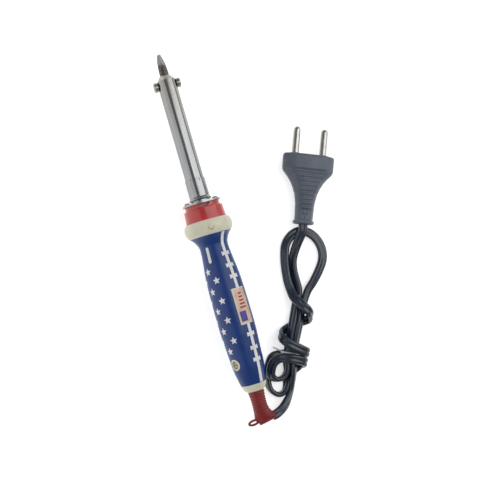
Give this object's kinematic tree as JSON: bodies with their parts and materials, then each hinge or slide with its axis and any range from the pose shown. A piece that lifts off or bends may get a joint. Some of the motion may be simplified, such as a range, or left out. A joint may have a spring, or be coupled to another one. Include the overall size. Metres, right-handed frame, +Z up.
{
  "type": "soldering iron",
  "caption": "Mains soldering iron with a chromed barrel, patterned round grip with a guard, and a folded flat cord with a two-pin plug.",
  "frame": {"origin": "on the bench, under the iron's axis and half-way along the iron, whose guard rests on the bench", "axes": "+Y runs along the iron towards the tip, +Z is up, and +X is the side where the cord leaves the boot and the plug lies"},
  "size_m": [0.1138, 0.2502, 0.0324],
  "materials": {
    "plated_tip": "dull",
    "bright_steel": "satin",
    "chromed_tube": "polished",
    "zinc_screw": "satin",
    "ceramic": "matt",
    "heating_wire": "dull",
    "mica": "satin",
    "nickel_wire": "satin",
    "glass_fibre": "matt",
    "white_insulator": "matt",
    "red_collar": "gloss",
    "cream_handle": "satin",
    "blue_grip": "gloss",
    "coral_badge": "satin",
    "nylon": "matt",
    "brass_screws": "satin",
    "brown_core": "satin",
    "blue_core": "satin",
    "cord_jacket": "satin",
    "red_boot": "satin",
    "tie_white": "satin",
    "plug_slate": "satin",
    "plug_insert": "matt",
    "nickel_pin": "polished"
  },
  "bodies": {
    "iron": {"nose_bush": "bright_steel", "barrel_tube": "chromed_tube", "heater_core": "ceramic", "heater_winding": "heating_wire", "mica_wrap": "mica", "end_insulator": "ceramic", "lead_wires": "nickel_wire", "lead_sleeves": "glass_fibre", "barrel_ferrule": "chromed_tube", "flange_plate": "bright_steel", "flange_screws": "zinc_screw", "insulator_ring": "white_insulator", "heat_collar": "red_collar", "handle_core": "cream_handle", "grip_sleeve": "blue_grip", "badge_plate": "coral_badge", "terminal_block": "nylon", "terminal_screws": "brass_screws", "live_core": "brown_core", "neutral_core": "blue_core", "cord_inner": "cord_jacket", "cord_clamp": "nylon", "clamp_screw": "zinc_screw", "end_ring": "cream_handle", "cord_boot": "red_boot", "cord_lead": "cord_jacket", "cord_tail": "cord_jacket", "cord_hank": "cord_jacket", "cord_tie": "tie_white", "plug_body": "plug_slate", "pin_carrier": "plug_insert", "plug_pins": "nickel_pin"},
    "tip": {"soldering_tip": "plated_tip"},
    "left_washer": {"set_washer_left": "zinc_screw"},
    "left_screw": {"set_screw_left": "zinc_screw"},
    "right_washer": {"set_washer_right": "zinc_screw"},
    "right_screw": {"set_screw_right": "zinc_screw"}
  },
  "joints": [
    {"name": "tip_slide", "type": "slide", "parent": "iron", "child": "tip", "axis": [0, 1, 0], "range_m": [-0.004, 0.038]},
    {"name": "left_screw_travel", "type": "slide", "parent": "iron", "child": "left_washer", "axis": [-1, 0, 0], "range_m": [0, 0.0024]},
    {"name": "left_screw_turn", "type": "hinge", "parent": "left_washer", "child": "left_screw", "pos_m": [-0.0069, 0.1041, 0.016], "axis": [-1, 0, 0], "range_deg": [0, 1441]},
    {"name": "right_screw_travel", "type": "slide", "parent": "iron", "child": "right_washer", "axis": [1, 0, 0], "range_m": [0, 0.0024]},
    {"name": "right_screw_turn", "type": "hinge", "parent": "right_washer", "child": "right_screw", "pos_m": [0.0069, 0.1041, 0.016], "axis": [1, 0, 0], "range_deg": [0, 1441]}
  ],
  "couplings": [
    {"joint": "left_screw_turn", "follows": "left_screw_travel", "rad_per_m": 10472},
    {"joint": "right_screw_turn", "follows": "right_screw_travel", "rad_per_m": 10472}
  ]
}
